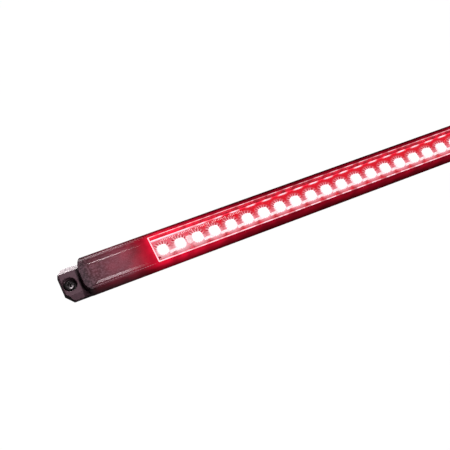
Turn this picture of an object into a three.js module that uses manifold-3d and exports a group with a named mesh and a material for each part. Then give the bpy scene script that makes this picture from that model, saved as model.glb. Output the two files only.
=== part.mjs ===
// High-mounted (third) brake light bar with two screw ears.
// Millimetres. X runs along the bar, +Z points out of the lens, z = 0 is the mounting face.
// The row of light-emitting diodes and the two screw holes lie on y = 0.

import * as THREE from 'three';
import { mergeVertices } from 'three/addons/utils/BufferGeometryUtils.js';
import Module from 'manifold-3d';

const wasm = await Module();
wasm.setup();

const GAP = 0.3;          // air left between pieces that touch
const OVER = 1;           // how far a cutting tool overshoots a face

// ---- driving dimensions -------------------------------------------------------------
const BAR = { end: 191.9, front: -10.35, back: 12.5, top: 10.7 };
const CORNER = {          // soft plan corners: run along the end, Bezier pull, run along the side
  front: { end: 5.0, pullX: 1.3, pullY: 0.0, side: 4.2 },
  back: { end: 8.4, pullX: 0.9, pullY: 1.1, side: 4.3 },
};
const SHOULDER = { front: -9.3, back: 9.3, frontDrop: 0.5, frontOut: -10.2, backDrop: 0.9, backOut: 12.0 };
const CAVITY = { end: 189.6, front: -8.85, back: 10.8, roof: 7.4 };
const WINDOW = { half: 145.1, front: -8.95, back: 8.95, bottom: 8.9, ledge: 1.2, edge: 0.3, skirt: 5.3 };
const GROOVE = {
  outer: 186.0, inner: 149.6, rim: 8.9, floor: 8.5,
  front: -6.5, frontSlope: 1.4, frontDeep: 0.45, point: 2.6,
  back: 5.6, backSlope: 0.6, backDeep: 0.3, hook: 2.0,
};
const EAR = {
  end: 204.0, root: 187.0, front: -10.2, back: 12.0, top: 5.4, endBevel: 0.6,
  frontCrease: -7.2, frontLip: 2.8, backCrease: 7.9, backLip: 2.4,
};
const HOLE = { x: 199.2, clear: 2.2, seatR: 4.5, seatZ: 1.6, rim: 0.35 };

const BACK = { thick: 1.6, ribIn: 9.35, ribOut: 9.95, ribTop: 4.4, sink: 0.5 };
const INLET = { x: 40, neck: 3.6, bore: 1.9, flange: 5.0, nose: 3.3, noseZ: -3.2, recess: 1.0, boss: 2.2 };
const BOARD = { half: 144.6, front: -7.6, back: 9.0, bottom: 3.4, thick: 1.6 };
const PEG = { x: 142.4, y: -4.8, r: 1.0, high: 1.0 };
const POST = { r: 2.6, at: [-132, -66, 0, 66, 132] };
const LED = { count: 24, pitch: 12, size: 5.2, height: 1.6, cup: 2.05, cupDeep: 0.5 };
const RESISTOR = { long: 3.4, wide: 1.6, high: 0.6, x: 0.6, y: -2.9 };
const DIODE = { slot: 2, wide: 3.1, long: 5.4, high: 2.3 };

const WASHER = { outer: 4.0, inner: 1.95, thick: 0.6 };
const SCREW = { head: 3.5, headHigh: 2.1, shank: 1.75, core: 1.3, pitch: 1.3, length: 13, point: 2.6 };
const CROSS = { arm: 1.95, wide: 0.95, deep: 1.4 };

// ---- materials ----------------------------------------------------------------------
const MATERIALS = {
  housing: { color: 0x4a2028, roughness: 0.55, metalness: 0.0 },
  window: { color: 0xd8203a, roughness: 0.08, metalness: 0.0 },
  back: { color: 0x17110f, roughness: 0.6, metalness: 0.0 },
  rubber: { color: 0x141414, roughness: 0.85, metalness: 0.0 },
  board: { color: 0xe8e2e0, roughness: 0.45, metalness: 0.0 },
  led: { color: 0xffe9e6, roughness: 0.35, metalness: 0.0 },
  resistor: { color: 0xf2efe9, roughness: 0.5, metalness: 0.0 },
  diode: { color: 0xd9d2cc, roughness: 0.5, metalness: 0.0 },
  steel: { color: 0x5c5658, roughness: 0.35, metalness: 1.0 },
};

const group = new THREE.Group();
group.name = 'third_brake_light';

function addPiece(name, look, geometry, x = 0, y = 0, z = 0) {
  const mesh = new THREE.Mesh(geometry, new THREE.MeshStandardMaterial(MATERIALS[look]));
  mesh.name = name;
  mesh.position.set(x, y, z);
  group.add(mesh);
}

// ---- solid helpers ------------------------------------------------------------------
function solid(geometry) {
  const bare = geometry.clone();
  bare.deleteAttribute('normal');
  bare.deleteAttribute('uv');
  const merged = mergeVertices(bare, 1e-4);
  return new wasm.Manifold(new wasm.Mesh({
    numProp: 3,
    vertProperties: new Float32Array(merged.attributes.position.array),
    triVerts: new Uint32Array(merged.index.array),
  }));
}

function toGeometry(body) {
  const mesh = body.getMesh();
  const indexed = new THREE.BufferGeometry();
  indexed.setAttribute('position', new THREE.BufferAttribute(new Float32Array(mesh.vertProperties), 3));
  indexed.setIndex(new THREE.BufferAttribute(new Uint32Array(mesh.triVerts), 1));
  const flat = indexed.toNonIndexed();
  flat.computeVertexNormals();
  return flat;
}

function cut(body, ...tools) {
  return tools.reduce((rest, tool) => rest.subtract(tool), body);
}

function join(...bodies) {
  return bodies.reduce((sum, body) => sum.add(body));
}

function box(x0, x1, y0, y1, z0, z1) {
  const geometry = new THREE.BoxGeometry(x1 - x0, y1 - y0, z1 - z0);
  geometry.translate((x0 + x1) / 2, (y0 + y1) / 2, (z0 + z1) / 2);
  return geometry;
}

function polygon(points) {
  return new THREE.Shape(points.map(([a, b]) => new THREE.Vector2(a, b)));
}

// A plan outline (x, y) raised from z0 to z1.
function raise(shape, z0, z1) {
  const geometry = new THREE.ExtrudeGeometry(shape, { depth: z1 - z0, bevelEnabled: false });
  geometry.translate(0, 0, z0);
  return geometry;
}

// A cross-section (y, z) drawn out along X from x0 to x1.
function drawOut(points, x0, x1) {
  const geometry = new THREE.ExtrudeGeometry(polygon(points), { depth: x1 - x0, bevelEnabled: false });
  const turn = new THREE.Matrix4().makeBasis(
    new THREE.Vector3(0, 1, 0), new THREE.Vector3(0, 0, 1), new THREE.Vector3(1, 0, 0));
  geometry.applyMatrix4(turn);
  geometry.translate(x0, 0, 0);
  return geometry;
}

// A profile of [radius, z] points turned about the Z axis.
function turned(profile, sides) {
  const geometry = new THREE.LatheGeometry(profile.map(([r, z]) => new THREE.Vector2(r, z)), sides);
  geometry.rotateX(Math.PI / 2);
  return geometry;
}

function ring(inner, outer, z0, z1, sides) {
  return turned([[inner, z0], [outer, z0], [outer, z1], [inner, z1], [inner, z0]], sides);
}

function disc(radius, z0, z1, sides) {
  return turned([[0, z0], [radius, z0], [radius, z1], [0, z1]], sides);
}

// ---- housing ------------------------------------------------------------------------
// Plan of the bar: straight sides with one long soft corner at each end of each side.
function barPlan() {
  const corner = (side, sx) => {
    const c = side < 0 ? CORNER.front : CORNER.back;
    const edge = side < 0 ? BAR.front : BAR.back;
    const curve = new THREE.QuadraticBezierCurve(
      new THREE.Vector2(sx * BAR.end, edge - side * c.end),
      new THREE.Vector2(sx * (BAR.end - c.pullX), edge - side * c.pullY),
      new THREE.Vector2(sx * (BAR.end - c.side), edge));
    return curve.getPoints(8).map((p) => [p.x, p.y]);
  };
  return polygon([
    ...corner(-1, 1).reverse(), ...corner(1, 1),
    ...corner(1, -1).reverse(), ...corner(-1, -1),
  ]);
}

function barSection() {
  return [
    [BAR.front, 0], [BAR.back, 0],
    [SHOULDER.backOut, BAR.top - SHOULDER.backDrop], [SHOULDER.back, BAR.top],
    [SHOULDER.front, BAR.top], [SHOULDER.frontOut, BAR.top - SHOULDER.frontDrop],
  ];
}

function ear(side) {
  const plan = polygon([
    [EAR.root, EAR.front], [EAR.end - 4.2, EAR.front], [EAR.end, EAR.front + 5.2],
    [EAR.end, EAR.back - 4.2], [EAR.end - 4.0, EAR.back], [EAR.root, EAR.back],
  ].map(([x, y]) => [side * x, y]));
  const section = [
    [EAR.front, 0], [EAR.back, 0], [EAR.back, EAR.backLip], [EAR.backCrease, EAR.top],
    [EAR.frontCrease, EAR.top], [EAR.front, EAR.frontLip],
  ];
  const x0 = Math.min(side * (EAR.end + OVER), side * EAR.root);
  const lug = solid(raise(plan, 0, EAR.top + OVER))
    .intersect(solid(drawOut(section, x0, x0 + EAR.end + OVER - EAR.root)));
  const chamfer = new THREE.BoxGeometry(EAR.endBevel * 1.5, 40, EAR.endBevel * 1.5);
  chamfer.rotateY(Math.PI / 4);
  chamfer.translate(side * EAR.end, 0, EAR.top);
  return cut(lug, solid(chamfer));
}

function screwHole(side) {
  const tool = turned([
    [0, -OVER], [HOLE.clear, -OVER], [HOLE.clear, HOLE.seatZ], [HOLE.seatR, HOLE.seatZ],
    [HOLE.seatR, EAR.top - HOLE.rim], [HOLE.seatR + HOLE.rim + 0.1, EAR.top + 0.1],
    [HOLE.seatR + HOLE.rim + 0.1, BAR.top], [0, BAR.top],
  ], 40);
  tool.translate(side * HOLE.x, 0, 0);
  return solid(tool);
}

// Two shallow grooves along each end of the top face, with the blank plate between them.
// The front one starts in a point, and the back one hooks outwards beside the window.
function grooves(side) {
  const g = GROOVE;
  const high = BAR.top + OVER;
  const slopes = [
    [g.front, g.front - g.frontSlope, -g.floor, -g.rim, BAR.top - g.frontDeep],
    [g.back, g.back + g.backSlope, g.floor, g.rim, BAR.top - g.backDeep],
  ];
  const plans = [
    [[g.outer, -g.rim], [g.outer, g.front - g.frontSlope], [g.outer - g.point, g.front],
      [g.inner, g.front], [g.inner, -g.rim]],
    [[g.outer - 1, g.rim], [g.outer - 1, g.back], [g.inner + g.hook, g.back],
      [g.inner, g.back + g.hook], [g.inner, g.rim]],
  ];
  return plans.map((plan, i) => {
    const [top, foot, end, rim, floor] = slopes[i];
    const section = [[top, high], [top, BAR.top], [foot, floor], [end, floor], [rim, BAR.top], [rim, high]];
    const outline = polygon(plan.map(([x, y]) => [side * x, y]));
    return solid(raise(outline, floor - OVER, high))
      .intersect(solid(drawOut(section, -BAR.end, BAR.end)));
  });
}

// Space for the board. A skirt hangs from the window's ledge down to just above the board.
function cavity() {
  const w = WINDOW;
  const c = CAVITY;
  const skirt = cut(
    solid(box(-w.half, w.half, w.front, w.back, w.skirt, c.roof + OVER)),
    solid(box(-w.half + w.ledge, w.half - w.ledge, w.front + w.ledge, w.back - w.ledge,
      w.skirt - OVER, c.roof + 2 * OVER)),
  );
  return cut(solid(box(-c.end, c.end, c.front, c.back, -OVER, c.roof)), skirt);
}

function housing() {
  const bar = solid(raise(barPlan(), 0, BAR.top + OVER))
    .intersect(solid(drawOut(barSection(), -BAR.end - OVER, BAR.end + OVER)));
  const body = join(bar, ear(-1), ear(1));
  const w = WINDOW;
  return toGeometry(cut(
    body,
    cavity(),
    solid(box(-w.half + w.ledge, w.half - w.ledge, w.front + w.ledge, w.back - w.ledge,
      CAVITY.roof - OVER, BAR.top + OVER)),
    solid(box(-w.half - GAP / 2, w.half + GAP / 2, w.front - GAP / 2, w.back + GAP / 2,
      w.bottom - GAP, BAR.top + OVER)),
    screwHole(-1), screwHole(1), ...grooves(-1), ...grooves(1),
  ));
}

// ---- window -------------------------------------------------------------------------
function windowStrip() {
  const w = WINDOW;
  const e = w.edge;
  const section = [
    [w.front, w.bottom], [w.back, w.bottom], [w.back, BAR.top - e], [w.back - e, BAR.top],
    [w.front + e, BAR.top], [w.front, BAR.top - e],
  ];
  const strip = solid(drawOut(section, -w.half, w.half));
  const bevels = [-1, 1].map((side) => {
    const tool = new THREE.BoxGeometry(e * Math.SQRT2, 40, e * Math.SQRT2);
    tool.rotateY(Math.PI / 4);
    tool.translate(side * w.half, 0, BAR.top);
    return solid(tool);
  });
  return toGeometry(cut(strip, ...bevels));
}

// ---- back cover, inlet and circuit board --------------------------------------------
function backCover() {
  const c = CAVITY;
  const plate = solid(box(-c.end + GAP, c.end - GAP, c.front + GAP, c.back - GAP, 0, BACK.thick));
  const rib = box(-BOARD.half, BOARD.half, BACK.ribIn, BACK.ribOut, BACK.thick - BACK.sink, BACK.ribTop);
  const posts = POST.at.map((x) => {
    const post = disc(POST.r, BACK.thick - BACK.sink, BOARD.bottom - GAP, 20);
    return solid(post.translate(x, 0, 0));
  });
  const pegs = [-PEG.x, PEG.x].flatMap((x) => [
    disc(PEG.r + 0.9, BACK.thick - BACK.sink, BOARD.bottom - GAP, 20).translate(x, PEG.y, 0),
    disc(PEG.r, BACK.thick, BOARD.bottom + BOARD.thick + PEG.high, 16).translate(x, PEG.y, 0),
  ]).map(solid);
  const boss = disc(INLET.flange + 1.2, BACK.thick - BACK.sink, INLET.boss, 28).translate(INLET.x, 0, 0);
  const inlet = turned([
    [0, -OVER], [INLET.flange + GAP, -OVER], [INLET.flange + GAP, INLET.recess],
    [INLET.neck + GAP, INLET.recess], [INLET.neck + GAP, INLET.boss + OVER], [0, INLET.boss + OVER],
  ], 28).translate(INLET.x, 0, 0);
  return toGeometry(cut(join(plate, solid(rib), solid(boss), ...posts, ...pegs), solid(inlet)));
}

// Grooved rubber bush: its outer flange lies in a recess, flush with the mounting face,
// its inner flange holds it behind the boss, and its nose leads the cable out.
function inletBush() {
  const { bore, neck, flange, nose, noseZ, recess, boss } = INLET;
  return turned([
    [bore, noseZ], [nose - 0.5, noseZ], [nose, noseZ + 0.5], [nose, 0], [flange, 0],
    [flange, recess - GAP], [neck, recess - GAP], [neck, boss + GAP],
    [flange - 0.2, boss + GAP], [flange - 0.2, boss + 0.9], [bore, boss + 0.9], [bore, noseZ],
  ], 28);
}

function circuitBoard() {
  const b = BOARD;
  const board = solid(box(-b.half, b.half, b.front, b.back, b.bottom, b.bottom + b.thick));
  const holes = [-PEG.x, PEG.x].map((x) => {
    const hole = disc(PEG.r + GAP, b.bottom - OVER, b.bottom + b.thick + OVER, 20);
    return solid(hole.translate(x, PEG.y, 0));
  });
  return toGeometry(cut(board, ...holes));
}

// ---- parts on the board -------------------------------------------------------------
// Square package with a shallow round cup for the light-emitting chip.
function ledPackage() {
  const s = LED.size / 2;
  const h = LED.height;
  const skirt = raise(polygon([[-s, -s], [s, -s], [s, s - 0.7], [s - 0.7, s], [-s, s]]), 0, h);
  const cup = turned([
    [0, h - LED.cupDeep], [LED.cup - 0.4, h - LED.cupDeep], [LED.cup, h + 0.1], [0, h + 0.1],
  ], 20);
  return toGeometry(cut(solid(skirt), solid(cup)));
}

// Ceramic chip with raised solder caps at both ends.
function chipResistor() {
  const { long, wide, high } = RESISTOR;
  const cap = 0.55;
  return toGeometry(join(
    solid(box(-long / 2 + 0.1, long / 2 - 0.1, -wide / 2, wide / 2, 0, high - 0.1)),
    solid(box(-long / 2, -long / 2 + cap, -wide / 2, wide / 2, 0, high)),
    solid(box(long / 2 - cap, long / 2, -wide / 2, wide / 2, 0, high)),
  ));
}

function surgeDiode() {
  const { wide, long, high } = DIODE;
  const body = [
    [-long / 2 + 0.45, 0.35], [long / 2 - 0.45, 0.35], [long / 2 - 0.3, high * 0.5],
    [long / 2 - 0.55, high], [-long / 2 + 0.55, high], [-long / 2 + 0.3, high * 0.5],
  ];
  return toGeometry(join(
    solid(drawOut(body, -wide / 2, wide / 2)),
    solid(box(-0.75, 0.75, -long / 2, -long / 2 + 0.9, 0, high * 0.45)),
    solid(box(-0.75, 0.75, long / 2 - 0.9, long / 2, 0, high * 0.45)),
  ));
}

function addBoardParts() {
  const z = BOARD.bottom + BOARD.thick + GAP;
  const first = -LED.pitch * (LED.count - 1) / 2;
  const number = (i) => String(i).padStart(2, '0');
  for (let i = 0; i < LED.count; i += 1) {
    const x = first + i * LED.pitch;
    addPiece(`led_${number(i + 1)}`, 'led', ledPackage(), x, 0, z);
    if (i === LED.count - 1) break;
    const middle = x + LED.pitch / 2;
    if (i + 1 === DIODE.slot) addPiece('surge_diode', 'diode', surgeDiode(), middle, 0, z);
    else {
      addPiece(`resistor_${number(i + 1)}`, 'resistor', chipResistor(),
        middle + RESISTOR.x, RESISTOR.y, z);
    }
  }
}

// ---- screws -------------------------------------------------------------------------
function screwProfile() {
  const s = SCREW;
  const points = [[0, -s.length], [s.core * 0.35, -s.length + 0.5]];
  const turns = Math.floor((s.length - 1.2) / s.pitch);
  for (let i = turns; i >= 1; i -= 1) {
    const z = -i * s.pitch - 0.3;
    const taper = Math.min(1, (z + s.length) / s.point);
    points.push([s.core * taper, z - s.pitch * 0.35], [s.shank * (0.3 + 0.7 * taper), z],
      [s.core * taper, z + s.pitch * 0.35]);
  }
  points.push([s.core, -0.2], [s.core, 0], [s.head - 0.15, 0], [s.head, 0.35]);
  for (const [r, z] of [[1, 0.45], [0.93, 0.72], [0.76, 0.9], [0.5, 0.98], [0, 1]]) {
    points.push([s.head * r, s.headHigh * z]);
  }
  return points;
}

function screw() {
  const top = SCREW.headHigh;
  const arm = (x, y) => solid(box(-x, x, -y, y, top - CROSS.deep, top + OVER));
  return toGeometry(cut(
    solid(turned(screwProfile(), 24)),
    arm(CROSS.arm, CROSS.wide / 2), arm(CROSS.wide / 2, CROSS.arm),
  ));
}

function addScrews() {
  for (const [name, side] of [['left', -1], ['right', 1]]) {
    const seat = HOLE.seatZ + GAP;
    addPiece(`washer_${name}`, 'steel', ring(WASHER.inner, WASHER.outer, 0, WASHER.thick, 28),
      side * HOLE.x, 0, seat);
    addPiece(`screw_${name}`, 'steel', screw(), side * HOLE.x, 0, seat + WASHER.thick + GAP);
  }
}

// ---- assembly -----------------------------------------------------------------------
addPiece('housing', 'housing', housing());
addPiece('lens_window', 'window', windowStrip());
addPiece('back_cover', 'back', backCover());
addPiece('inlet_bush', 'rubber', inletBush(), INLET.x, 0, 0);
addPiece('circuit_board', 'board', circuitBoard());
addBoardParts();
addScrews();

export default group;
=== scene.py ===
"""Looks for the third brake light: one housing with a clear window over a lit row of diodes."""
import math
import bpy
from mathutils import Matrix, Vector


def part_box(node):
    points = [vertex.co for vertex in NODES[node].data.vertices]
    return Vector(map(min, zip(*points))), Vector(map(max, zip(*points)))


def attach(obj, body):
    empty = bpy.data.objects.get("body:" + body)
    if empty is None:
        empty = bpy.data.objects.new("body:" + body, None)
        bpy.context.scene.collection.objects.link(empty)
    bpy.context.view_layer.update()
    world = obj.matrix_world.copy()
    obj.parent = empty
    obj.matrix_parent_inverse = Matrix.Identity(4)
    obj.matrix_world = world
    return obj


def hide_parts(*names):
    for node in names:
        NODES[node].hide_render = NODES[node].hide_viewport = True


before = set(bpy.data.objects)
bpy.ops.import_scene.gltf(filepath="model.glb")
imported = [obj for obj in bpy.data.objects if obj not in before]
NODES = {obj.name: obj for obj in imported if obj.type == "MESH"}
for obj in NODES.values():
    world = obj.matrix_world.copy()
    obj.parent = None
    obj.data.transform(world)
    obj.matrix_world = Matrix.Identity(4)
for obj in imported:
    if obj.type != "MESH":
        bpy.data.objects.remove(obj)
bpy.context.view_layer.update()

from types import SimpleNamespace

import bmesh
import bpy
from mathutils import Quaternion, Vector

MM = 0.001
scene = bpy.context.scene

# ---- places taken from the CAD --------------------------------------------------------
_, HOUSING_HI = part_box("housing")
WINDOW_LO, WINDOW_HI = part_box("lens_window")
_, BOARD_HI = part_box("circuit_board")
LED_NAMES = sorted(n for n in NODES if n.startswith("led_"))
LED_PLACES = [(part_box(n)[0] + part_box(n)[1]) / 2 for n in LED_NAMES]

# the same in mm, for the materials
LED_PITCH = (LED_PLACES[1].x - LED_PLACES[0].x) / MM
LED_FIRST = LED_PLACES[0].x / MM
WINDOW_END = WINDOW_HI.x / MM
HOUSING_TOP = HOUSING_HI.z / MM
BOARD_TOP = BOARD_HI.z / MM

# ---- bands of the housing's looks, in mm: where each starts, is full, fades and ends ----
FRONT_HIGHLIGHT_DOTS = (-9.5, -9.4, -9.2, -9.1)       # across y, painted dotted highlight along the front edge
BACK_HIGHLIGHT_DOTS = (10.25, 10.35, 10.55, 10.65)    # across y, painted dotted highlight along the back edge
FRONT_STRIP_SHADE = (-9.2, -9.0, -8.3, -8.0)       # across y, painted shade on the strip inside the front crease
INSIDE = (-9.2, -9.0, 11.2, 11.5)           # across y, the cavity and its walls' inner faces
END_CAP = (160.0, 186.0, 190.0, 193.0)      # across |x|, from the plate to the bar's end
WALL_FOOT_SHADOW = (186.5, 188.0, 193.0, 194.2)    # across |x|, painted shadow at the end wall's foot on the ear
BAR_END = (190.0, 187.0)                    # across |x|, 0 past the bar's end and 1 before it
EAR_START = (191.0, 193.0)                  # across |x|, 0 before the ear and 1 on it

# ---- the diodes' light, in mm ---------------------------------------------------------
SQUARENESS = 2.3                            # power of the measure around a diode; 2 is round
GAP_LIGHT = (1.5, 4.8)                      # from a diode's middle out to the gap between two
EVEN_LIGHT = (90.0, 138.0)                  # across |x|, past which a diode's side is lit like a gap

# ---- colours --------------------------------------------------------------------------
WHITE = (1.0, 1.0, 1.0)
PALE_PINK = (1.0, 0.70, 0.78)
RED_LIGHT = (1.0, 0.008, 0.045)
PINK_LIGHT = (1.0, 0.06, 0.14)

# ---- screw sizes in mm: shank thread, and head profile as (radius, height above the seat) ----
THREAD = SimpleNamespace(core=1.25, crest=1.75, pitch=1.3, point=2.8, plain=12.2, runout=0.8,
                         flat=0.4, tip=0.06, taper=0.8)
HEAD = [(3.30, 0.0), (3.46, 0.10), (3.50, 0.30), (3.50, 0.85), (3.40, 1.20), (3.10, 1.55),
        (2.55, 1.84), (1.80, 2.00), (0.90, 2.08), (0.20, 2.10)]
HEAD_HIGH = HEAD[-1][1]
SCREW_SIDES, SCREW_ROWS = 48, 120
RECESS = SimpleNamespace(deep=1.5, over=0.3, bottom=(0.55, 0.20), top=(2.05, 0.52))

# ---- small parts on the board, in mm: distance outwards, half sizes -----------------------
LED_PAD = SimpleNamespace(out=2.75, half_long=0.75, half_wide=1.7)
CHIP_PAD = SimpleNamespace(out=0.5, half_long=1.15, half_wide=0.95)
SOLDER = SimpleNamespace(height=0.25, draft=0.22)
MARK = SimpleNamespace(diodes=5, count=9, start=1.5, step=1.15, y=6.3, wander=0.15,
                       half_long=0.16, tall=0.55, short=0.25, height=0.04, draft=0.02)

# ---- stage, light and camera, in metres, watts and degrees --------------------------------
CAMERA = SimpleNamespace(lens=66.8, sensor=36.0, place=(-0.2732, -0.2034, 0.4640),
                         target=(-0.0959, -0.0010, 0.0107), roll=16.89)
FLOOR = SimpleNamespace(half=6.0, z=-0.16, shown=1.0, lit=0.050)
SKY = SimpleNamespace(shown=0.93, low=0.02, high=0.18)
LIGHTS = (  # name, place, target, size, power, spread; at the right end, and mirrored at the left
    ("overhead_", (0.086, -0.082, 0.40), (0.172, 0.0, 0.01), 0.07, 0.092, 36),
    ("behind_", (0.120, 0.242, 0.062), (0.170, 0.005, 0.01), 0.05, 0.0098, 18),
    ("low_", (0.185, 0.110, -0.006), (0.199, 0.01, 0.004), 0.03, 0.009, 50),
)


# ---- node helpers ---------------------------------------------------------------------
class Graph:
    """Small wrapper that writes a node tree as formulas."""

    def __init__(self, tree):
        self.tree = tree
        self.nodes = tree.nodes
        self.links = tree.links
        self.nodes.clear()

    def put(self, socket, value):
        if hasattr(value, "is_output"):
            self.links.new(value, socket)
        else:
            socket.default_value = value

    def math(self, operation, *values, clamp=False):
        node = self.nodes.new("ShaderNodeMath")
        node.operation = operation
        node.use_clamp = clamp
        for socket, value in zip(node.inputs, values):
            self.put(socket, value)
        return node.outputs[0]

    def add(self, a, b):
        return self.math("ADD", a, b)

    def sub(self, a, b):
        return self.math("SUBTRACT", a, b)

    def mul(self, a, b):
        return self.math("MULTIPLY", a, b)

    def product(self, first, *others):
        for value in others:
            first = self.mul(first, value)
        return first

    def most(self, first, *others):
        for value in others:
            first = self.math("MAXIMUM", first, value)
        return first

    def size(self, value):
        return self.math("ABSOLUTE", value)

    def decay(self, distance, length):
        """Exponential fall from 1, by a factor of e in each length."""
        return self.math("POWER", 2.718, self.mul(distance, -1 / length))

    def band(self, value, start, full, fade, end):
        """1 between full and fade, and 0 before start and after end."""
        return self.mul(self.ramp(value, start, full), self.ramp(value, end, fade))

    def ramp(self, value, low, high, out_low=0.0, out_high=1.0):
        """Smooth step from out_low at low to out_high at high; low may be above high."""
        node = self.nodes.new("ShaderNodeMapRange")
        node.interpolation_type = "SMOOTHSTEP"
        if low > high:
            low, high, out_low, out_high = high, low, out_high, out_low
        for name, number in (("From Min", low), ("From Max", high),
                             ("To Min", out_low), ("To Max", out_high)):
            node.inputs[name].default_value = number
        self.put(node.inputs["Value"], value)
        return node.outputs[0]

    def mix(self, factor, a, b):
        node = self.nodes.new("ShaderNodeMix")
        node.data_type = "RGBA"
        self.put(node.inputs[0], factor)
        for socket, value in ((node.inputs[6], a), (node.inputs[7], b)):
            self.put(socket, (*value, 1.0) if isinstance(value, tuple) and len(value) == 3 else value)
        return node.outputs[2]

    def mix_value(self, factor, a, b):
        node = self.nodes.new("ShaderNodeMix")
        for socket, value in zip((node.inputs[0], node.inputs[2], node.inputs[3]), (factor, a, b)):
            self.put(socket, value)
        return node.outputs[0]

    def place(self):
        """x, y and z in millimetres, and the whole coordinate."""
        coord = self.nodes.new("ShaderNodeTexCoord").outputs["Object"]
        split = self.nodes.new("ShaderNodeSeparateXYZ")
        self.links.new(coord, split.inputs[0])
        return [self.mul(out, 1000.0) for out in split.outputs] + [coord]

    def noise(self, coord, scale, detail=3.0, rough=0.5):
        node = self.nodes.new("ShaderNodeTexNoise")
        node.inputs["Scale"].default_value = scale
        node.inputs["Detail"].default_value = detail
        node.inputs["Roughness"].default_value = rough
        self.links.new(coord, node.inputs["Vector"])
        return node.outputs[0]

    def bump(self, height, strength, distance=0.0002):
        node = self.nodes.new("ShaderNodeBump")
        node.inputs["Strength"].default_value = strength
        node.inputs["Distance"].default_value = distance
        self.put(node.inputs["Height"], height)
        return node.outputs[0]

    def surface(self, **values):
        shader = self.nodes.new("ShaderNodeBsdfPrincipled")
        for name, value in values.items():
            socket = shader.inputs[name.replace("_", " ")]
            if isinstance(value, tuple) and len(value) == 3:
                value = (*value, 1.0)
            self.put(socket, value)
        out = self.nodes.new("ShaderNodeOutputMaterial")
        self.links.new(shader.outputs[0], out.inputs[0])
        return shader


def material(name):
    made = bpy.data.materials.new(name)
    made.use_nodes = True
    return made, Graph(made.node_tree)


def led_distance(g, x, y):
    """From the nearest diode: distance on a slightly square measure, angle, and offset along the bar."""
    turns = g.mul(g.sub(x, LED_FIRST - LED_PITCH / 2), 1 / LED_PITCH)
    along = g.mul(g.sub(g.math("FRACT", turns), 0.5), LED_PITCH)
    powers = [g.math("POWER", g.size(v), SQUARENESS) for v in (along, y)]
    distance = g.math("POWER", g.add(*powers), 1 / SQUARENESS)
    return distance, g.math("ARCTAN2", y, along), along


# ---- housing --------------------------------------------------------------------------
def housing_places(g):
    """Coordinates in mm, their sizes, and the distance past the window's end."""
    x, y, z, coord = g.place()
    far = g.size(x)
    away = g.math("MAXIMUM", g.sub(far, WINDOW_END), 0.0)
    return SimpleNamespace(x=x, y=y, z=z, coord=coord, far=far, side=g.size(y), away=away)


def shell_glow(g, at, lit):
    """Red light through the shell: weaker mid-bar, past the window's end, low down and at the back."""
    spread = g.mul(g.decay(at.away, 30.0), 0.255)
    close = g.mul(g.decay(at.away, 3.0), 0.28)
    distance, _, _ = led_distance(g, at.x, g.mul(at.y, 0.35))
    wall = g.add(g.ramp(at.z, -1.0, HOUSING_TOP + 1.0, 0.10, 0.80),
                 g.ramp(at.z, 6.0, HOUSING_TOP - 0.4, 0.0, 0.15))
    upward = g.mul(g.ramp(at.side, 10.2, 9.2), g.ramp(at.z, 8.0, 8.5))
    middle = g.ramp(at.far, 75.0, 136.0, 0.36, 1.0)
    blotch = g.ramp(g.noise(at.coord, 110.0, 3.0), 0.32, 0.68, 0.74, 1.26)
    ripple = g.ramp(distance, 1.5, 6.0, 1.12, 0.9)
    back = g.mix_value(lit, 1.0, g.ramp(at.y, 9.4, 11.6, 1.35, 0.24))
    end = g.ramp(at.far, 180.0, 191.0, 1.0, 0.0)
    return g.product(g.add(spread, close), g.most(wall, upward), middle, blotch, ripple, back, end)


def ledge_glow(g, at):
    """Patches of light on the ledge under the window and on the faces below it."""
    ledge = g.product(g.ramp(at.side, 9.1, 9.0), g.ramp(at.z, 9.1, 9.0),
                      g.ramp(at.far, WINDOW_END + 0.4, WINDOW_END + 0.3))
    return g.mul(ledge, g.ramp(g.noise(at.coord, 260.0, 3.0, 0.6), 0.38, 0.62, 0.08, 0.52))


def skirt_glow(g, at):
    """Where the foot of the skirt lights up, and its colour, redder beside each diode."""
    _, _, along = led_distance(g, at.x, at.y)
    skirt = g.product(g.ramp(at.side, 8.0, 7.9), g.ramp(at.far, WINDOW_END - 1.0, WINDOW_END - 1.3),
                      g.ramp(at.z, 6.5, 6.2))
    between = g.mul(g.ramp(g.size(along), *GAP_LIGHT),
                    g.ramp(g.noise(at.coord, 240.0, 3.0), 0.3, 0.5, 0.5, 1.0))
    between = g.mix_value(g.ramp(at.far, *EVEN_LIGHT), between, 1.0)
    return skirt, g.mix(between, (0.85, 0.02, 0.06), PALE_PINK)


def cavity_glow(g, at):
    """Dim red light inside the shell, under its roof."""
    return g.product(g.ramp(at.z, 7.3, 6.9), g.ramp(at.z, 1.0, 2.0, 0.0, 0.25),
                     g.ramp(at.far, WINDOW_END + 2.0, WINDOW_END), g.band(at.y, *INSIDE))


def housing_grain(g, at):
    """Fine grain, how pale it is worn, and the relief: coarser near the bar's end, smooth on the ears."""
    fine = g.noise(at.coord, 1300.0, 2.0, 0.6)
    coarse = g.noise(at.coord, 900.0, 1.0, 0.5)
    cap = g.band(at.far, *END_CAP)
    worn = g.mix_value(cap, g.ramp(fine, 0.3, 0.7), g.ramp(coarse, 0.42, 0.64))
    worn = g.mix_value(g.ramp(at.far, *EAR_START, 0.0, 0.8), worn, 1.1)
    relief = g.mul(g.add(g.product(coarse, cap, 0.8), fine), g.ramp(at.far, 190.0, 192.5, 1.0, 0.12))
    return fine, worn, relief


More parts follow.
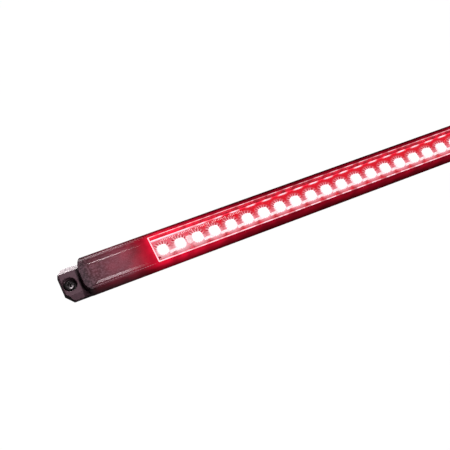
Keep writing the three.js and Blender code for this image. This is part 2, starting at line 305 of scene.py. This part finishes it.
def housing_painted_shade(g, at):
    """Painted shade: darker strips along the long edges, and a painted shadow at the end wall's foot; the
    back rim's painted shade on its own too.
    """
    bar = g.ramp(at.far, *BAR_END)
    # painted shade on the front lip, the strip inside the front crease, the back rim and the strip behind
    # the back groove
    lip_shade = g.mul(g.ramp(at.y, -9.3, -9.5, 0.0, 0.75), bar)
    front_strip_shade = g.product(g.band(at.y, *FRONT_STRIP_SHADE), bar, 0.9)
    rim = g.mul(g.ramp(at.y, 10.6, 10.9), bar)
    strip = g.mul(g.ramp(at.y, 6.6, 6.8, 0.0, 0.3), bar)
    # painted shadow where the end wall stands on the ear
    foot = g.product(g.ramp(at.z, 5.8, 5.6), g.band(at.far, *WALL_FOOT_SHADOW), g.ramp(at.y, 5.0, 0.0))
    return g.most(lip_shade, front_strip_shade, rim, strip, foot), rim


def edge_highlight_dots(g, at):
    """Painted dotted highlights along both long edges, past the window's end."""
    # painted highlight lines along both long edges, broken into dots along x
    lines = g.add(g.band(at.y, *BACK_HIGHLIGHT_DOTS), g.band(at.y, *FRONT_HIGHLIGHT_DOTS))
    highlight_dots = g.ramp(g.math("SINE", g.mul(at.x, 3.9)), -0.4, 0.6, 0.2, 1.0)
    return g.product(lines, g.ramp(at.z, 9.7, 9.9), g.ramp(at.far, 188.5, 187.0),
                     g.ramp(at.away, 0.0, 8.0), highlight_dots)


def housing_material():
    """Dark smoked plastic with an eroded grain; the diodes inside make it glow red."""
    made, g = material("smoked_plastic")
    at = housing_places(g)
    lit = g.ramp(at.away, 24.0, 2.0)
    skirt, skirt_colour = skirt_glow(g, at)
    fine, worn, relief = housing_grain(g, at)
    painted_shade, rim = housing_painted_shade(g, at)
    # painted dotted highlights, added to the emission below
    highlight_dots = edge_highlight_dots(g, at)
    level = g.add(g.add(shell_glow(g, at, lit), ledge_glow(g, at)), cavity_glow(g, at))
    dull = g.mix(worn, (0.014, 0.0070, 0.0092), (0.062, 0.032, 0.042))
    # painted shade darkens the base colour here, and the reflections' tint on the next line
    dull = g.mix(g.mul(painted_shade, 0.8), dull, (0.010, 0.005, 0.007))
    tint = g.mix(painted_shade, (1.0, 0.74, 0.82), (0.16, 0.11, 0.12))
    rough = g.mix_value(g.most(lit, rim), g.ramp(fine, 0.3, 0.7, 0.40, 0.54), 0.80)
    glow = g.mix(skirt, g.mix(lit, PINK_LIGHT, RED_LIGHT), skirt_colour)
    g.surface(
        Base_Color=g.mix(lit, dull, (0.020, 0.0006, 0.0015)),
        Roughness=g.mix_value(g.ramp(at.far, *EAR_START), rough, 0.50),
        Specular_Tint=g.mix(lit, tint, (0.25, 0.01, 0.02)),
        Specular_IOR_Level=0.32,
        Coat_Weight=g.mix_value(lit, 0.03, 0.0),
        Coat_Roughness=0.2,
        Emission_Color=g.mix(highlight_dots, glow, (1.0, 0.45, 0.55)),
        Emission_Strength=g.add(level, g.add(skirt, g.mul(highlight_dots, 0.16))),
        Normal=g.bump(relief, 0.26, 0.00016),
    )
    return made


# ---- window and board -----------------------------------------------------------------
def window_material():
    """Polished clear plastic, faintly pink with painted red light from the diodes."""
    made, g = material("clear_window")
    _, _, _, coord = g.place()
    g.surface(
        # faint pink stands in for the diodes' red light in the clear plastic
        Base_Color=(1.0, 0.90, 0.91),
        Roughness=g.ramp(g.noise(coord, 300.0, 3.0), 0.35, 0.7, 0.015, 0.05),
        IOR=1.45,
        Transmission_Weight=1.0,
        Specular_IOR_Level=0.35,
    )
    return made


def edge_material():
    """Edge of the window strip, which collects the diodes' light into a bright line."""
    made, g = material("window_edge")
    x, y, _, coord = g.place()
    _, _, along = led_distance(g, g.add(x, 2.5), y)
    near = g.ramp(g.size(along), 2.6, 5.0, 1.0, 0.0)
    steady = g.ramp(g.size(x), 30.0, 125.0, 0.40, 1.0)
    blotch = g.ramp(g.noise(coord, 260.0, 3.0), 0.32, 0.62, 0.60, 1.2)
    level = g.product(g.most(near, steady), blotch, g.ramp(y, -2.0, 2.0, 1.0, 0.80))
    g.surface(
        Base_Color=(0.3, 0.02, 0.03),
        Roughness=0.25,
        Emission_Color=g.mix(level, (0.75, 0.01, 0.05), (1.0, 0.66, 0.74)),
        Emission_Strength=g.ramp(level, 0.0, 1.0, 0.6, 1.25),
    )
    return made


def diode_streaks(g, coord, angle):
    """Uneven rays around each diode, from -1 to 1."""
    wobble = g.mul(g.noise(coord, 380.0, 2.0), 7.0)
    return g.math("SINE", g.add(g.mul(angle, 18.0), wobble))


def diode_core(g, far, distance, streak):
    """Blown-out middle with a ragged rim, a little smaller towards the bar's ends."""
    shrink = g.ramp(far, 60.0, 138.0, 0.0, 0.35)
    ragged = g.add(g.add(distance, shrink), g.mul(streak, 0.28))
    return g.ramp(ragged, 4.35, 3.45)


def diode_halo(g, y, distance, along, behind):
    """Pink light around the core, drawn out along the bar at the front and wider behind."""
    wide, _, _ = led_distance(g, g.add(g.mul(along, 0.76), LED_FIRST), g.add(y, 1.2))
    return g.most(g.ramp(distance, 5.2, 3.8), g.ramp(wide, 6.2, 3.0, 0.0, 0.75),
                  g.mul(behind, g.ramp(distance, 6.6, 4.4, 0.0, 0.85)))


def board_wash(g, y, far, coord):
    """Red light between the diodes: paler towards the bar's ends, and clouded at the front."""
    wash = g.mix(g.ramp(far, 95.0, 142.0), (0.83, 0.002, 0.022), (0.95, 0.17, 0.24))
    cloud = g.mul(g.ramp(g.noise(coord, 420.0, 3.0, 0.65), 0.40, 0.60), g.ramp(y, 3.0, -3.0, 0.20, 0.9))
    return g.mix(cloud, wash, (0.42, 0.002, 0.016))


def board_edge_highlight(g, y, far, along):
    """Painted highlight: a bright line along the board's back edge, broken beside each diode in the bar's
    middle.
    """
    broken = g.mul(g.ramp(y, 7.3, 7.45), g.ramp(g.size(along), *GAP_LIGHT))
    return g.mix_value(g.ramp(far, *EVEN_LIGHT), broken, g.ramp(y, 7.1, 7.25))


def board_material():
    """White solder mask with the diodes' red light painted on it, blown out to white around each diode."""
    made, g = material("lit_solder_mask")
    x, y, _, coord = g.place()
    far = g.size(x)
    distance, angle, along = led_distance(g, x, y)
    behind = g.ramp(y, -0.5, 2.0)
    streak = diode_streaks(g, coord, angle)
    core = diode_core(g, far, distance, streak)
    bright = g.mix(g.ramp(far, 70.0, 130.0), (1.0, 0.42, 0.50), (1.0, 0.60, 0.66))
    light = g.mix(diode_halo(g, y, distance, along, behind), board_wash(g, y, far, coord), bright)
    ray = g.product(g.band(distance, 3.7, 4.2, 5.2, 6.4), behind, g.ramp(streak, -0.3, 0.4))
    light = g.mix(ray, light, (0.58, 0.001, 0.018))
    # painted highlight along the board's back edge
    light = g.mix(board_edge_highlight(g, y, far, along), light, PALE_PINK)
    g.surface(
        Base_Color=(0.04, 0.003, 0.004),
        Roughness=g.ramp(g.noise(coord, 400.0), 0.3, 0.7, 0.35, 0.55),
        Specular_IOR_Level=0.1,
        Emission_Color=g.mix(core, light, (1.0, 0.95, 0.96)),
        Emission_Strength=g.ramp(core, 0.0, 1.0, 0.95, 1.3),
    )
    return made


# ---- small parts, screws and back cover -----------------------------------------------
def glowing_material(name, base, colour, strength, grain=600.0):
    """Small bright part: its own colour with the light of the diodes on it."""
    made, g = material(name)
    _, _, _, coord = g.place()
    speck = g.ramp(g.noise(coord, grain, 3.0), 0.3, 0.7, 0.9, 1.1)
    g.surface(
        Base_Color=base,
        Roughness=g.ramp(g.noise(coord, grain * 2), 0.3, 0.7, 0.3, 0.5),
        Emission_Color=colour,
        Emission_Strength=g.mul(speck, strength),
    )
    return made


def plain_material(name, low, high, rough, grain, strength=0.3, metal=0.0):
    """Moulded or plated surface: two close tones mixed by a fine grain."""
    made, g = material(name)
    _, _, _, coord = g.place()
    fine = g.noise(coord, grain, 3.0, 0.55)
    broad = g.noise(coord, grain / 25.0, 4.0, 0.5)
    g.surface(
        Base_Color=g.mix(g.ramp(broad, 0.3, 0.7), low, high),
        Roughness=g.ramp(fine, 0.3, 0.7, rough - 0.06, rough + 0.08),
        Metallic=metal,
        Normal=g.bump(g.add(fine, g.mul(broad, 0.5)), strength, 0.0001),
    )
    return made


def cover_material():
    """Black moulding; its inner side is red with the diodes' light."""
    made, g = material("black_moulding")
    x, _, z, coord = g.place()
    inside = g.mul(g.ramp(z, 1.5, 2.0), g.ramp(g.size(x), 147.0, 145.5))
    fine = g.noise(coord, 2600.0, 3.0, 0.55)
    flow = g.noise(coord, 40.0, 5.0, 0.6)
    g.surface(
        Base_Color=g.mix(g.ramp(flow, 0.3, 0.7), (0.014, 0.012, 0.012), (0.030, 0.026, 0.026)),
        Roughness=g.ramp(fine, 0.3, 0.7, 0.46, 0.62),
        Emission_Color=(1.0, 0.02, 0.06, 1.0),
        Emission_Strength=g.mul(inside, 0.35),
        Normal=g.bump(g.add(fine, g.mul(flow, 0.6)), 0.35, 0.0001),
    )
    return made


# ---- mesh helpers ---------------------------------------------------------------------
def link(name, mesh, body, slot, *materials):
    piece = bpy.data.objects.new(name, mesh)
    scene.collection.objects.link(piece)
    for item in materials:
        mesh.materials.append(item)
    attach(piece, body)
    return piece


def upright(edge):
    """True for an edge along Z, where flat facets stand for a round wall."""
    run = edge.verts[1].co - edge.verts[0].co
    return abs(run.z) > 0.9 * run.length


def is_sharp(edge, sharp):
    """True for an edge that turns by more than sharp degrees, or by 30 if it is upright."""
    limit = max(sharp, 30.0) if upright(edge) else sharp
    return len(edge.link_faces) == 2 and edge.calc_face_angle(0) > math.radians(limit)


def softened(node, name, width, body, slot, look, sharp=12.0, segments=2):
    """The CAD node's own shape with its sharp edges rounded by width, in mm."""
    bm = bmesh.new()
    bm.from_mesh(NODES[node].data)
    bmesh.ops.remove_doubles(bm, verts=bm.verts, dist=2e-6)
    bmesh.ops.dissolve_limit(bm, angle_limit=math.radians(0.4), verts=bm.verts, edges=bm.edges)
    edges = [e for e in bm.edges if is_sharp(e, sharp)]
    bmesh.ops.bevel(bm, geom=edges, offset=width * MM, offset_type="OFFSET",
                    segments=segments, profile=0.5, affect="EDGES", clamp_overlap=True)
    mesh = bpy.data.meshes.new(name)
    bm.to_mesh(mesh)
    bm.free()
    mesh.materials.clear()
    for face in mesh.polygons:
        face.use_smooth = True
        face.material_index = 0
    piece = link(name, mesh, body, slot, look)
    weighted = piece.modifiers.new("weighted", "WEIGHTED_NORMAL")
    weighted.weight = 100
    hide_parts(node)
    return piece


def drawn_strip(name, section, x0, x1, end_cut):
    """A closed section of (y, z) in mm along X; the end faces are cut back at the top by end_cut."""
    bm = bmesh.new()
    top = max(z for _, z in section)
    rings = []
    for x, inward in ((x0, 1), (x1, -1)):
        rings.append([bm.verts.new((x + inward * (end_cut * MM if z > top - 1e-6 else 0.0),
                                    y * MM, z * MM)) for y, z in section])
    count = len(section)
    faces = []
    for i in range(count):
        j = (i + 1) % count
        faces.append(bm.faces.new((rings[0][i], rings[0][j], rings[1][j], rings[1][i])))
    faces.append(bm.faces.new(rings[0]))
    faces.append(bm.faces.new(rings[1]))
    bmesh.ops.recalc_face_normals(bm, faces=bm.faces)
    mesh = bpy.data.meshes.new(name)
    bm.to_mesh(mesh)
    bm.free()
    return mesh


def solid_of(name, points, faces):
    mesh = bpy.data.meshes.new(name)
    mesh.from_pydata([[v * MM for v in point] for point in points], [], faces)
    return mesh


def slabs(name, blocks, height, draft, z):
    """Low blocks on a plane, each (x, y, half length, half width) in mm with sloping sides."""
    points, faces = [], []
    for x, y, u, v in blocks:
        first = len(points)
        for level, inset in ((z, 0.0), (z + height, draft)):
            points += [(x + i * (u - inset), y + j * (v - inset), level)
                       for i, j in ((-1, -1), (1, -1), (1, 1), (-1, 1))]
        faces += [(first + 3, first + 2, first + 1, first), (first + 4, first + 5, first + 6, first + 7)]
        faces += [(first + k, first + (k + 1) % 4, first + 4 + (k + 1) % 4, first + 4 + k)
                  for k in range(4)]
    return solid_of(name, points, faces)


def thread_radius(height, angle):
    """Radius of the screw's shank at a height above its tip, in mm, on a one-start thread."""
    phase = (height / THREAD.pitch - angle / (2 * math.pi)) % 1.0
    crest = max(0.0, (1 - abs(2 * phase - 1) - THREAD.flat) / (1 - THREAD.flat))
    runout = min(1.0, max(0.0, (THREAD.plain - height) / THREAD.runout))
    radius = THREAD.core + (THREAD.crest - THREAD.core) * crest * runout
    return radius * min(1.0, THREAD.tip + (height / THREAD.point) ** THREAD.taper)


def screw_blank(name, x, tip, seat):
    """Threaded shank and domed head about the upright axis at x, without the recess."""
    sides, rows = SCREW_SIDES, SCREW_ROWS
    turns = [2 * math.pi * k / sides for k in range(sides)]
    heights = [(seat - tip) * i / rows for i in range(rows + 1)]
    rings = [[(thread_radius(height, turn), tip + height) for turn in turns] for height in heights]
    rings += [[(radius, seat + rise)] * sides for radius, rise in HEAD]
    points = [(x + r * math.cos(turns[k]), r * math.sin(turns[k]), z)
              for ring in rings for k, (r, z) in enumerate(ring)]
    faces = [(a * sides + k, a * sides + (k + 1) % sides, (a + 1) * sides + (k + 1) % sides,
              (a + 1) * sides + k) for a in range(len(rings) - 1) for k in range(sides)]
    faces.append(tuple(reversed(range(sides))))
    faces.append(tuple((len(rings) - 1) * sides + k for k in range(sides)))
    blank = bpy.data.objects.new(name + "_blank", solid_of(name, points, faces))
    scene.collection.objects.link(blank)
    return blank


def recess_arm(x, top, turned):
    """Tapered wedge for one arm of the cross recess, along X or turned along Y."""
    ends = ((*RECESS.bottom, top - RECESS.deep), (*RECESS.top, top + RECESS.over))
    wedge = [(i * a, j * b, z) for a, b, z in ends for i, j in ((-1, -1), (1, -1), (1, 1), (-1, 1))]
    corners = [(x + (-v if turned else u), u if turned else v, z) for u, v, z in wedge]
    faces = [(3, 2, 1, 0), (4, 5, 6, 7), (0, 1, 5, 4), (1, 2, 6, 5), (2, 3, 7, 6), (3, 0, 4, 7)]
    arm = bpy.data.objects.new("recess", solid_of("recess", corners, faces))
    scene.collection.objects.link(arm)
    return arm


def screw_mesh(name, x, tip, seat):
    """Pan-head screw about the upright axis at x, with a helical thread and a cross recess."""
    blank = screw_blank(name, x, tip, seat)
    arms = [recess_arm(x, seat + HEAD_HIGH, turned) for turned in (False, True)]
    for arm in arms:
        cutter = blank.modifiers.new("recess", "BOOLEAN")
        cutter.operation = "DIFFERENCE"
        cutter.solver = "EXACT"
        cutter.object = arm
    shape = bpy.data.meshes.new_from_object(
        blank.evaluated_get(bpy.context.evaluated_depsgraph_get()))
    for spare in [blank, *arms]:
        bpy.data.objects.remove(spare)
    shape.name = name
    for face in shape.polygons:
        face.use_smooth = True
    shape.set_sharp_from_angle(angle=math.radians(32))
    return shape


# ---- stage, light and camera ----------------------------------------------------------
def add_camera():
    data = bpy.data.cameras.new("camera")
    data.lens = CAMERA.lens
    data.sensor_width = CAMERA.sensor
    data.clip_start, data.clip_end = 0.01, 50.0
    camera = bpy.data.objects.new("camera", data)
    scene.collection.objects.link(camera)
    camera.location = CAMERA.place
    camera.rotation_mode = "QUATERNION"
    aim = (Vector(CAMERA.target) - camera.location).to_track_quat("-Z", "Y")
    camera.rotation_quaternion = aim @ Quaternion((0, 0, 1), math.radians(CAMERA.roll))
    scene.camera = camera


def add_area(name, place, target, size, power, spread):
    data = bpy.data.lights.new(name, "AREA")
    data.shape = "RECTANGLE"
    data.size = data.size_y = size
    data.energy = power
    data.spread = math.radians(spread)
    lamp = bpy.data.objects.new(name, data)
    scene.collection.objects.link(lamp)
    lamp.visible_camera = False
    lamp.location = place
    lamp.rotation_mode = "QUATERNION"
    lamp.rotation_quaternion = (Vector(target) - Vector(place)).to_track_quat("-Z", "Y")
    return lamp


def shown_or_lit(g, shown, lit):
    """Strength that the camera sees, and the weaker one that falls on the lamp."""
    ray = g.nodes.new("ShaderNodeLightPath").outputs["Is Camera Ray"]
    return g.add(g.mul(ray, shown), g.mul(g.sub(1.0, ray), lit))


def add_floor():
    mesh = bpy.data.meshes.new("floor")
    corners = [(i * FLOOR.half, j * FLOOR.half, FLOOR.z) for i, j in ((-1, -1), (1, -1), (1, 1), (-1, 1))]
    mesh.from_pydata(corners, [], [(0, 1, 2, 3)])
    floor = bpy.data.objects.new("floor", mesh)
    scene.collection.objects.link(floor)
    made, g = material("studio_floor")
    g.surface(Base_Color=(0.05, 0.05, 0.05), Roughness=0.9, Specular_IOR_Level=0.0,
              Emission_Color=WHITE, Emission_Strength=shown_or_lit(g, FLOOR.shown, FLOOR.lit))
    mesh.materials.append(made)


def add_sky():
    """Nearly white to the camera; what falls on the lamp is weak, and stronger from above."""
    world = bpy.data.worlds.new("studio")
    world.use_nodes = True
    scene.world = world
    g = Graph(world.node_tree)
    split = g.nodes.new("ShaderNodeSeparateXYZ")
    g.links.new(g.nodes.new("ShaderNodeTexCoord").outputs["Generated"], split.inputs[0])
    upward = g.ramp(split.outputs[2], -0.1, 0.9, SKY.low, SKY.high)
    sky = g.nodes.new("ShaderNodeBackground")
    sky.inputs[0].default_value = (*WHITE, 1.0)
    g.links.new(shown_or_lit(g, SKY.shown, upward), sky.inputs[1])
    out = g.nodes.new("ShaderNodeOutputWorld")
    g.links.new(sky.outputs[0], out.inputs[0])
    scene.view_settings.view_transform = "Standard"


def add_lights():
    """Three small lights at each end of the bar."""
    for side, end in ((-1, "left"), (1, "right")):
        for name, place, target, size, power, spread in LIGHTS:
            mirrored = [(side * x, y, z) for x, y, z in (place, target)]
            add_area(name + end, *mirrored, size, power, spread)


# ---- the lamp -------------------------------------------------------------------------
def add_window():
    y0, y1 = WINDOW_LO.y / MM, WINDOW_HI.y / MM
    z0, z1 = WINDOW_LO.z / MM, WINDOW_HI.z / MM
    bevel, drop = 0.55, 0.35
    section = [(y0, z0), (y1, z0), (y1, z1 - drop), (y1 - bevel, z1), (y0 + bevel, z1),
               (y0, z1 - drop)]
    mesh = drawn_strip("window_strip", section, WINDOW_LO.x, WINDOW_HI.x, bevel)
    strip = link("window_strip", mesh, "lamp", "window", window_material(), edge_material())
    for face in mesh.polygons:
        tilted = 0.1 < abs(face.normal.z) < 0.95
        end = abs(face.normal.x) > 0.5
        face.material_index = 1 if (tilted or end) else 0
    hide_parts("lens_window")


def add_solder(look):
    """Solder at each diode and resistor."""
    diodes = [(p.x / MM + side * LED_PAD.out, p.y / MM, LED_PAD.half_long, LED_PAD.half_wide)
              for p in LED_PLACES for side in (-1, 1)]
    chips = []
    for name in NODES:
        if name.startswith("resistor_"):
            lo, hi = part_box(name)
            chips += [(x / MM + side * CHIP_PAD.out, (lo.y + hi.y) / 2 / MM, CHIP_PAD.half_long,
                       CHIP_PAD.half_wide) for x, side in ((lo.x, -1), (hi.x, 1))]
    mesh = slabs("solder_joints", diodes + chips, SOLDER.height, SOLDER.draft, BOARD_TOP)
    link("solder_joints", mesh, "lamp", "board", look)


def add_marks(look):
    """Rows of small printed ticks of uneven height, behind the first few diodes."""
    marks = []
    for i, place in enumerate(LED_PLACES[:MARK.diodes]):
        for k in range(MARK.count):
            half_wide = MARK.tall if (i * 5 + k * 3) % 4 else MARK.short
            marks.append((place.x / MM + MARK.start + k * MARK.step,
                          MARK.y + MARK.wander * ((i + k) % 3), MARK.half_long, half_wide))
    mesh = slabs("printed_marks", marks, MARK.height, MARK.draft, BOARD_TOP)
    link("printed_marks", mesh, "lamp", "board", look)


def add_screws(steel):
    for side in ("left", "right"):
        node = "screw_" + side
        lo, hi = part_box(node)
        axis = (lo.x + hi.x) / 2 / MM
        mesh = screw_mesh("pan_screw_" + side, axis, lo.z / MM, hi.z / MM - HEAD_HIGH)
        mesh.materials.clear()
        screw = link("pan_screw_" + side, mesh, side + "_screw", "steel", steel)
        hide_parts(node)
        softened("washer_" + side, "flat_washer_" + side, 0.12, side + "_washer", "steel",
                 steel, 30.0)


def build_lamp():
    softened("housing", "housing_shell", 0.16, "lamp", "housing", housing_material())
    softened("back_cover", "rear_cover", 0.2, "lamp", "back", cover_material(), 30.0)
    add_window()
    solder = glowing_material("lit_solder", (0.3, 0.25, 0.25), (1.0, 0.80, 0.83, 1), 1.1)
    add_solder(solder)
    add_marks(solder)
    add_screws(plain_material("dark_zinc", (0.040, 0.034, 0.037), (0.085, 0.074, 0.078), 0.36,
                              900.0, 0.2, 1.0))
    board = board_material()
    rubber = plain_material("black_rubber", (0.010, 0.010, 0.010), (0.020, 0.019, 0.018), 0.78,
                            1800.0, 0.5)
    diode = glowing_material("diode_body", (0.2, 0.15, 0.15), (1.0, 0.72, 0.75, 1), 0.92)
    led = glowing_material("led_package", (0.5, 0.45, 0.45), (1.0, 0.93, 0.94, 1), 1.3)
    resistor = glowing_material("chip_resistor", (0.2, 0.15, 0.15), (1.0, 0.86, 0.88, 1), 1.05)
    for start, look in (("circuit_board", board), ("inlet_bush", rubber), ("surge_diode", diode),
                        ("led_", led), ("resistor_", resistor)):
        for name, piece in NODES.items():
            if name.startswith(start):
                piece.data.materials.clear()
                piece.data.materials.append(look)


add_camera()
add_floor()
add_sky()
add_lights()
build_lamp()
